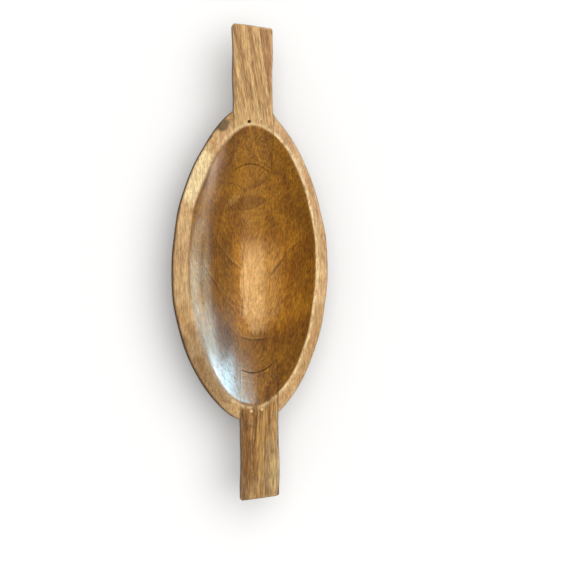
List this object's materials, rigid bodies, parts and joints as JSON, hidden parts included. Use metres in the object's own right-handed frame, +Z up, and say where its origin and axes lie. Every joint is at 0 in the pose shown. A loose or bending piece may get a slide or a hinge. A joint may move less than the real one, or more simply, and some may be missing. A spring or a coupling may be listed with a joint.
{
  "type": "nut bowl",
  "caption": "Carved wooden nut bowl: a long oval boat-shaped body with a rounded hollow, a flat foot and a board handle let into each end.",
  "frame": {"origin": "middle of the flat foot that the bowl stands on", "axes": "+Z up out of the hollow, +Y along the bowl towards the back handle (the top of the picture), +X to the right as seen from the front handle"},
  "size_m": [0.132, 0.4, 0.0445],
  "materials": {
    "bowl_wood": "oiled and polished hardwood, satin",
    "back_handle_wood": "planed and oiled board, pale tan",
    "front_handle_wood": "planed and oiled board, orange brown",
    "peg_wood": "bare end grain, matte"
  },
  "bodies": {
    "root": {"bowl_body": "bowl_wood", "back_handle": "back_handle_wood", "front_handle": "front_handle_wood", "back_peg_left": "peg_wood", "back_peg_right": "peg_wood", "front_peg_left": "peg_wood", "front_peg_right": "peg_wood"}
  },
  "joints": []
}
